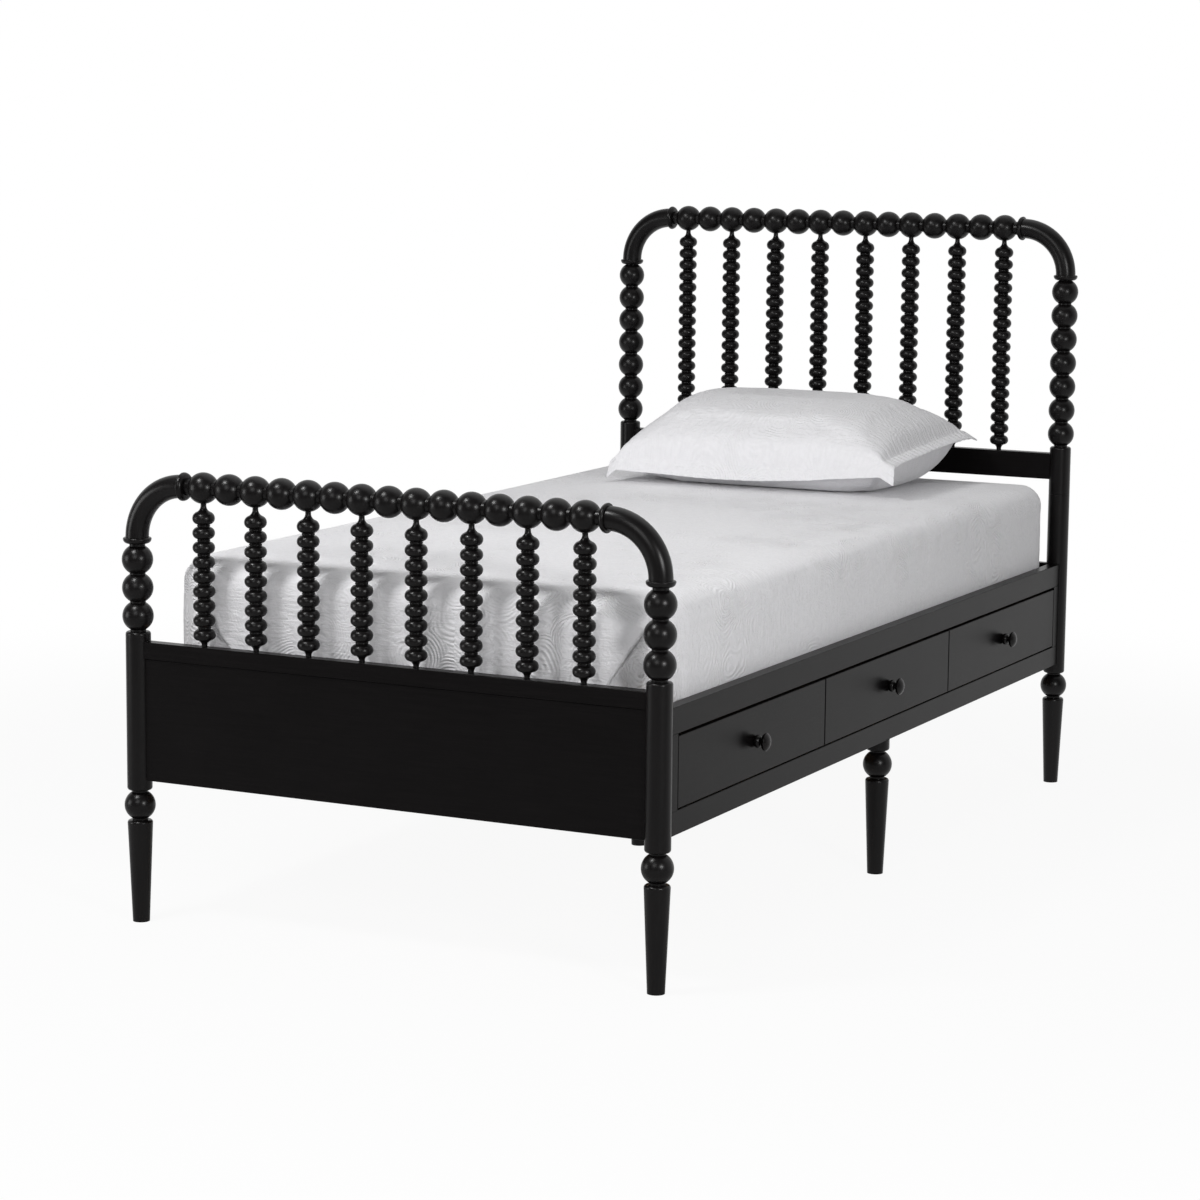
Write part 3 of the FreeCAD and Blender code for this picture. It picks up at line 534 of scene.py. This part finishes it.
def coverProfile(along):  # how far out and how far down the cloth is, this far past the flat top
    top, bottom = mattressForm["topRound"], mattressForm["footRound"]
    drop = mattressHigh.z - mattressLow.z - mattressForm["crown"]
    quarter, wall = top * math.pi / 2, drop - top - bottom
    if along < quarter:
        return top * math.sin(along / top), top * (1 - math.cos(along / top))
    along -= quarter
    if along < wall:
        return top, top + along
    along -= wall
    quarter = bottom * math.pi / 2
    if along < quarter:
        turn = along / bottom
        return top - bottom * (1 - math.cos(turn)), drop - bottom + bottom * math.sin(turn)
    return top - bottom - (along - quarter), drop


def crownAt(point):
    form = mattressForm
    inward = min(mattressHalf.x - abs(point.x), mattressHalf.y - abs(point.y)) - form["crownRim"]
    short = 1 - min(1.0, max(0.0, inward) / form["crownReach"])
    return form["crown"] * (1 - short ** 2)


def wallShare(down):  # 1 on the upright side of the cloth, 0 on the top and beneath
    hem, reach = coverlet["wallEnd"]
    return smooth(down / coverlet["wallStart"]) * smooth((mattressHalf.z * 2 - down - hem) / reach)


def coverletPush(flat, away, core, down):  # how far folds and swells move the side out
    cut = coverlet
    swell, ripple, pleat, crinkle = (cut[k] for k in ("sideSwell", "footRipple", "cornerPleat", "rimCrinkle"))
    corner = abs(away.x * away.y) / away.length_squared * 2 if away.length else 0.0  # 1 on the diagonal
    foot = smooth((-flat.y - core.y) / ripple["border"]) * (1 - corner)
    rim = math.exp(-((down - crinkle["down"]) / crinkle["width"]) ** 2) * (1 - foot)
    bend = pleat["bend"] * noise.noise(flat.to_3d() * pleat["bendsPerMetre"])
    fold = math.sin(math.atan2(away.y, away.x) * pleat["inTurn"] + bend)
    push = swell["depth"] * unevenness(flat, swell)
    push += ripple["depth"] * rippleAt(flat.x, down, ripple) * foot
    push += pleat["depth"] * fold * corner * smooth(down / pleat["reach"])
    push += crinkle["depth"] * rim * unevenness(flat, crinkle)
    overRails = mattressHalf.z * 2 - down > cut["railHeight"]
    return min(push, cut["mostPush"] if overRails else cut["railPush"])


def coverletPlace(flat, flatHalf, reach):  # where a point of the flat sheet comes to lie
    form, wave = mattressForm, coverlet["topWave"]
    rounding = form["footCorner" if flat.y < 0 else "headCorner"] - form["topRound"]
    core = flatHalf - Vector((rounding, rounding))
    held = Vector(max(-c, min(c, f)) for c, f in zip(core, flat))
    away = flat - held
    point, out, down = flat, Vector((0.0, 0.0)), 0.0
    if away.length > rounding:
        out = away.normalized()
        wide, down = coverProfile(min(away.length - rounding, reach))
        point = held + out * (rounding + wide)
    place = Vector((point.x, point.y, mattressHigh.z - form["crown"] - down - coverlet["skin"]))
    if down < form["topRound"] / 2:
        place.z += crownAt(point)
        place.z += wave["height"] * (unevenness(flat, wave) - wave["level"])
    place.xy += out * coverletPush(flat, away, core, down) * wallShare(down)
    return place + Vector((mattressMiddle.x, mattressMiddle.y, 0.0))


def makeCoverlet(material):
    form, cut = mattressForm, coverlet
    saved = (form["topRound"] + form["footRound"]) * (2 - math.pi / 2)  # by the rounded edges
    edge = mattressHalf.z * 2 - form["crown"] - saved
    reach = form["topRound"] * math.pi / 2 + edge + cut["tuck"]
    flatHalf = Vector(side - form["topRound"] - cut["skin"] for side in mattressHalf.xy)
    cutHalf = flatHalf + Vector((reach, reach))
    bm = bmesh.new()
    addGrid(bm, cut["cells"], 1.0)
    bmesh.ops.scale(bm, vec=(cutHalf.x, cutHalf.y, 1.0), verts=bm.verts)
    layPattern(bm, [vert.co.xy + cutHalf for vert in bm.verts])
    for vert in bm.verts:
        vert.co = coverletPlace(vert.co.xy, flatHalf, reach)
    bmesh.ops.recalc_face_normals(bm, faces=bm.faces)
    piece = addPiece("coverlet", asMesh(bm, "coverlet"), material)
    thickened(piece, cut["thickness"])
    return piece


footDrop = {
    "cells": (120, 30),
    "leftFold": (  # the slanting edges, as distances down from the top and right of the middle
        (0.0, -0.455), (0.060, -0.389), (0.090, -0.371),
        (0.124, -0.352), (0.160, -0.319), (0.215, -0.268),
    ),
    "rightFold": (
        (0.0, 0.500), (0.020, 0.475), (0.050, 0.459),
        (0.083, 0.436), (0.120, 0.412), (0.215, 0.350),
    ),
    "width": 0.86,  # of the flat sheet
    "start": 0.35,  # how far round the mattress's top edge it starts
    "hem": 0.022,  # over the underside
    "lie": 0.0012,  # off the coverlet
    "proud": 0.0042,  # how far the slanting edges stand out
    "proudWidth": 0.016,
    "ripple": {"depth": 0.0022, "pitch": 0.062, "start": 0.4, "change": 2.0, "seed": 8.8, "reach": 0.08},
    "sunk": 0.0030,  # under the coverlet's surface where it starts
    "sunkReach": 0.05,
    "riseReach": 0.06,
    "patternShift": 1.0,
    "thickness": 0.0022,
}


def footWall(along):  # a point of the mattress's foot wall, and the way out, this far from its middle
    corner, sideways = mattressForm["footCorner"], math.copysign(1.0, along)
    low, half = mattressLow.y + coverlet["skin"], mattressHigh.x - coverlet["skin"]
    past = (abs(along) - half + corner) / corner
    if past <= 0:
        return Vector((along, low)), Vector((0.0, -1.0))
    out = Vector((sideways * math.sin(past), -math.cos(past)))
    return Vector((sideways * (half - corner), low + corner)) + out * corner, out


def foldAt(fold, down):
    for (upper, start), (lower, end) in zip(fold, fold[1:]):
        if down <= lower:
            return start + (end - start) * max(0.0, down - upper) / (lower - upper)
    return fold[-1][1]


def dropLift(across, fromFold, down, past):  # how far the folded end stands off the coverlet
    cut, ripple = footDrop, footDrop["ripple"]
    lift = cut["proud"] * math.exp(-(fromFold / cut["proudWidth"]) ** 2) + cut["lie"]
    lift += ripple["depth"] * rippleAt(across, down, ripple) * smooth(down / ripple["reach"])
    return lift * smooth(past / cut["riseReach"]) - cut["sunk"] * (1 - smooth(past / cut["sunkReach"]))


def makeFootDrop(material):
    cut, form = footDrop, mattressForm
    quarter = form["topRound"] * math.pi / 2
    top = quarter * cut["start"]
    span = quarter + mattressHigh.z - mattressLow.z - form["crown"] - form["topRound"] - cut["hem"]
    bm = bmesh.new()
    addGrid(bm, cut["cells"], 0.5)
    flats = []
    for vert in bm.verts:
        along = top + (0.5 - vert.co.y) * (span - top)
        wide, down = coverProfile(along)
        left, right = foldAt(cut["leftFold"], down), foldAt(cut["rightFold"], down)
        across = left + (right - left) * (vert.co.x + 0.5)
        lift = dropLift(across, min(across - left, right - across), down, along - top)
        place, out = footWall(across)
        place = place + out * (wide - form["topRound"] + lift)
        vert.co = (place.x, place.y, mattressHigh.z - form["crown"] - down - coverlet["skin"])
        flats.append((across + cut["patternShift"], along))
    layPattern(bm, flats)
    bmesh.ops.recalc_face_normals(bm, faces=bm.faces)
    bm.faces.ensure_lookup_table()
    if bm.faces[len(bm.faces) // 2].normal.y > 0:
        bmesh.ops.reverse_faces(bm, faces=bm.faces)
    piece = addPiece("coverletDrop", asMesh(bm, "coverletDrop"), material)
    thickened(piece, cut["thickness"])
    span - top
    return piece


# Pillow in a flanged sham

sham = {
    "cells": (112, 88),
    "border": 0.028,  # of the grid, outside the seam
    "flange": {"front": 0.036, "back": 0.028, "left": 0.028, "right": 0.035},
    "droop": {"front": 1.25, "back": 0.20, "left": 0.75, "right": 0.50},  # how far the flange hangs
    "sideBow": 0.011,
    "endBow": 0.008,
    "seam": {"front": (0.060, 0.078), "back": (0.055, 0.101)},  # height over the mattress, left and right
    "frontSag": 0.018,
    "gap": 0.004,  # between the two layers at the seam
    "crown": 0.172,
    "crownTilt": 0.0114,
    "topFullness": {"ends": (5.7, 3.3, 0.443), "sides": (1.53, 2.62, 0.366)},
    "bellyFullness": {"ends": (4.85, 4.85, 0.30), "sides": (2.4, 2.4, 0.36)},
    "bellyDepth": 1.27,
    "lie": 0.002,  # of its lowest part, over the mattress
    "lieGap": 0.0015,
    "gather": {"depth": 0.0014, "pitch": 0.022, "bend": 6.0, "perMetre": (7.0, 3.0), "beneath": 0.6},
    "endGather": {"share": 1.0, "reach": 0.030, "seed": 2.0},
    "sideGather": {"share": 0.35, "reach": 0.022, "seed": 5.0},
    "layers": 0.01,  # apart before they are shaped
    "sewnReach": 0.51,  # of a cell, either side of the seam
    "frames": 22,
    "mostMove": 0.007,
    "lowest": 0.0008,
    "patternShift": 5.0,
    "patternLines": 0.6,
    # painted shade: the sham's white scaled down so the pillow renders less bright under the lamps
    "paintedShadeScale": 0.89,
}
shamCloth = {
    "quality": 6,
    "mass": 0.25,
    "tension_stiffness": 25,
    "compression_stiffness": 25,
    "shear_stiffness": 10,
    "bending_stiffness": 0.4,
    "use_pressure": True,
    "uniform_pressure_force": 3.0,
    "vertex_group_pressure": "stuffing",
    "vertex_group_shrink": "seam",
    "shrink_max": 0.05,  # how much the seam gathers the cloth
    "use_sewing_springs": True,
    "sewing_force_max": 20,
}
pillowLow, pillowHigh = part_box("pillow")
pillowMiddle = (pillowHigh + pillowLow) / 2
pillowHalf = (pillowHigh - pillowLow) / 2


def shamSeam():  # where the seam runs, as a share of the half size
    return tuple(1 - sham["border"] / side for side in pillowHalf.xy)


def gathered(along, across, inward, line):  # puckers that run in from one kind of seam and fade
    gather = sham["gather"]
    quick, slow = gather["perMetre"]
    bend = gather["bend"] * noise.noise((along * quick, across * slow, line["seed"]))
    fold = math.sin(along / gather["pitch"] * math.tau + bend)
    return line["share"] * math.exp(-inward / line["reach"]) * fold


def swelling(share, fullness):  # 1 in the middle, 0 at the seam
    before, after, steepness = fullness
    power = before if share < 0 else after
    return max(0.0, 1 - min(1.0, abs(share)) ** power) ** steepness


def seamHeight(across, along):
    right, head = (across + 1) / 2, (along + 1) / 2
    front, back = (blend(*sham["seam"][side], right) for side in ("front", "back"))
    return blend(front, back, head) - sham["frontSag"] * (1 - across * across) * (1 - head) ** 2


def shamHeight(across, along, side):
    seam = seamHeight(across, along)
    rise = sham["crown"] + sham["crownTilt"] * along - seam if side > 0 else -sham["bellyDepth"] * seam
    form = sham["topFullness" if side > 0 else "bellyFullness"]
    swell = swelling(across, form["ends"]) * swelling(along, form["sides"])
    fromEnd, fromSide = (1 - abs(across)) * pillowHalf.x, (1 - abs(along)) * pillowHalf.y
    x, y = (share * line * half for share, line, half in zip((across, along), shamSeam(), pillowHalf))
    folds = gathered(y, x, fromEnd, sham["endGather"]) + gathered(x, y, fromSide, sham["sideGather"])
    depth = sham["gather"]["depth"] * (1.0 if side > 0 else sham["gather"]["beneath"])
    return seam + side * sham["gap"] / 2 + swell * rise + depth * folds


def shamPoint(u, v, side):  # u and v run from -1 to 1 over the sham, side is 1 on top and -1 beneath
    seamU, seamV = shamSeam()
    innerU, innerV = max(-seamU, min(seamU, u)), max(-seamV, min(seamV, v))
    x = pillowMiddle.x + innerU * (pillowHalf.x - sham["sideBow"] * (1 - v * v))
    y = pillowMiddle.y + innerV * (pillowHalf.y - sham["endBow"] * (1 - u * u))
    z = shamHeight(innerU / seamU, innerV / seamV, side)
    acrossEdge, alongEdge = "left" if u < 0 else "right", "front" if v < 0 else "back"
    acrossDroop, alongDroop = sham["droop"][acrossEdge], sham["droop"][alongEdge]
    outU = (u - innerU) * pillowHalf.x * sham["flange"][acrossEdge] / sham["border"]
    outV = (v - innerV) * pillowHalf.y * sham["flange"][alongEdge] / sham["border"]
    x += outU * math.cos(acrossDroop)
    y += outV * math.cos(alongDroop)
    z -= abs(outU) * math.sin(acrossDroop) + abs(outV) * math.sin(alongDroop)
    return Vector((x, y, pillowLow.z + max(z, sham["lie"] + side * sham["lieGap"])))


def flatSham():  # two layers, bridged because that keeps the order the simulation needs from run to run
    bm = bmesh.new()
    for level in (0.0, -sham["layers"]):
        addGrid(bm, sham["cells"], 1.0, level)
    bmesh.ops.bridge_loops(bm, edges=[e for e in bm.edges if e.is_boundary])
    shift = sham["patternShift"]
    layPattern(bm, [(v.co.x * pillowHalf.x + shift, v.co.y * pillowHalf.y + shift) for v in bm.verts])
    return bm


def shamParts(bm):  # the points inside the seam, those on it, and the pairs of those to sew
    seam = shamSeam()
    reach = [2 / count * sham["sewnReach"] for count in sham["cells"]]
    stuffed, sewn, pairs = [], [], {}
    for vert in bm.verts:
        off = [abs(share) - line for share, line in zip(vert.co.xy, seam)]
        onSeam = any(abs(d) < r for d, r in zip(off, reach))
        if onSeam and all(d < r for d, r in zip(off, reach)):
            sewn.append(vert.index)
            pairs.setdefault((round(vert.co.x, 3), round(vert.co.y, 3)), []).append(vert)
        elif max(off) < 0:
            stuffed.append(vert.index)
    return stuffed, sewn, [pair for pair in pairs.values() if len(pair) == 2]


def inflate(piece):
    cloth = piece.modifiers.new("cloth", "CLOTH")
    for key, setting in shamCloth.items():
        setattr(cloth.settings, key, setting)
    cloth.settings.effector_weights.gravity = 0
    cloth.collision_settings.use_collision = False
    cloth.point_cache.frame_end = sham["frames"]
    scene = bpy.context.scene
    for number in range(1, sham["frames"] + 1):
        scene.frame_set(number)
    applied(piece)
    scene.frame_set(1)


def settle(piece, laid):  # takes the sewing out and keeps the cloth near where it was laid
    bm = bmesh.new()
    bm.from_mesh(piece.data)
    for vert, start in zip(bm.verts, laid):
        move = vert.co - start
        if move.length > sham["mostMove"]:
            move *= sham["mostMove"] / move.length
        vert.co = start + move
        vert.co.z = min(pillowHigh.z, max(pillowLow.z + sham["lowest"], vert.co.z))
    sewing = [e for e in bm.edges if not e.link_faces]
    bmesh.ops.delete(bm, geom=sewing, context="EDGES")
    bmesh.ops.recalc_face_normals(bm, faces=bm.faces)
    bm.to_mesh(piece.data)
    bm.free()
    piece.data.shade_smooth()


def makePillow(material):
    bm = flatSham()
    stuffed, sewn, pairs = shamParts(bm)
    level = sum(v.co.z for v in bm.verts) / len(bm.verts)
    for vert in bm.verts:
        vert.co = shamPoint(vert.co.x, vert.co.y, 1 if vert.co.z > level else -1)
    for pair in pairs:
        bm.edges.new(pair)
    bmesh.ops.recalc_face_normals(bm, faces=bm.faces)
    piece = addPiece("pillow_sham", asMesh(bm, "pillow_sham"), material)
    laid = [v.co.copy() for v in piece.data.vertices]
    for name, members in (("stuffing", stuffed), ("seam", sewn)):
        piece.vertex_groups.new(name=name).add(members, 1.0, "REPLACE")
    inflate(piece)
    settle(piece, laid)
    finer = piece.modifiers.new("finer", "SUBSURF")
    finer.levels = finer.render_levels = 1
    return applied(piece)


def makeBedding():
    cloth = makeMatelasse("matelasse_cover")
    pad = makeMattress(makeTicking())
    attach(pad, "mattress")
    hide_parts("mattress")
    cover = makeCoverlet(cloth)
    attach(cover, "mattress")
    drop = makeFootDrop(cloth)
    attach(drop, "mattress")
    print("mattress and coverlet made")
    pillow = makePillow(makeMatelasse("matelasse_sham", sham["patternLines"], sham["paintedShadeScale"]))
    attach(pillow, "pillow")
    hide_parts("pillow")
    print("pillow made")


makeBedding()


# Floor, world and lamps

studio = {
    "white": (1.0, 1.0, 1.0, 1.0),
    "floorSize": 60.0,
    "floorColour": (0.62, 0.62, 0.62, 1.0),
    "floorWhite": 0.93,  # share of plain white in what the camera sees of the floor
    "fade": (1.4, 3.2),  # from the bed to where the floor is all white
    "ambient": 0.20,
    "backdropFloor": (-1.5, 0.8),  # where along the bed glossy rays start to meet the white
    "backdropSky": (-0.2, 0.4),
}
lamps = {
    "key": {"at": (-0.86, -2.25, 2.92), "aim": (0.0, -0.4, 0.5), "size": (0.6, 0.6), "power": 54.0},
    "side": {"at": (3.7, -3.1, 1.75), "aim": (0.2, -0.3, 0.6), "size": (0.9, 0.9), "power": 93.0},
    "front": {"at": (0.6, -5.6, 3.0), "aim": (0.0, -0.8, 0.5), "size": (2.0, 2.0), "power": 60.0},
    "left": {"at": (-3.2, -2.9, 0.9), "aim": (-0.3, -1.0, 0.5), "size": (1.4, 1.4), "power": 34.0},
    "top": {"at": (0.3, 0.6, 4.2), "aim": (0.0, 0.2, 0.5), "size": (3.4, 3.4), "power": 24.0},
}


def whiteRays(shade, behind):  # 1 for rays that meet the white background, glossy ones only behind the bed
    camera = shade.node("LightPath", out="Is Camera Ray")
    clear = shade.node("LightPath", out="Is Transmission Ray")
    mirror = shade.node("LightPath", out="Is Glossy Ray")
    return camera.most(clear).most(mirror * behind)


def makeFloor():
    bm = bmesh.new()
    addGrid(bm, (1, 1), studio["floorSize"] / 2)
    shade = newShade("floor")
    far = shade.node("VectorMath", {"operation": "LENGTH"}, (shade.place(),), 1).between(*studio["fade"])
    behind = shade.part(shade.place(), "y").between(*studio["backdropFloor"])
    share = whiteRays(shade, behind) * (studio["floorWhite"] + far * (1 - studio["floorWhite"]))
    lit = shade.node("BsdfDiffuse", None, {"Color": studio["floorColour"]})
    plain = shade.node("Emission", None, {"Color": studio["white"], "Strength": 1.0})
    surface = shade.node("MixShader", None, (share, lit, plain))
    shade.node("OutputMaterial", None, {"Surface": surface})
    floor = addPiece("floor", asMesh(bm, "floor"), shade.owner)


def makeWorld():
    world = bpy.data.worlds.new("studio")
    bpy.context.scene.world = world
    shade = Shade(world)
    sky = shade.node("TexCoord", out="Generated")
    behind = shade.part(sky, "y").between(*studio["backdropSky"])
    strength = studio["ambient"] + whiteRays(shade, behind) * (1 - studio["ambient"])
    light = shade.node("Background", None, {"Color": studio["white"], "Strength": strength})
    shade.node("OutputWorld", None, {"Surface": light})


def makeLamp(name, lamp):
    data = bpy.data.lights.new(name, "AREA")
    data.shape = "RECTANGLE"
    data.size, data.size_y = lamp["size"]
    data.energy = lamp["power"]
    piece = bpy.data.objects.new(name, data)
    bpy.context.scene.collection.objects.link(piece)
    at = Vector(lamp["at"])
    piece.location = at
    piece.rotation_euler = (at - Vector(lamp["aim"])).to_track_quat("Z", "Y").to_euler()


makeFloor()
makeWorld()
for name, lamp in lamps.items():
    makeLamp(name, lamp)
print("studio lit")
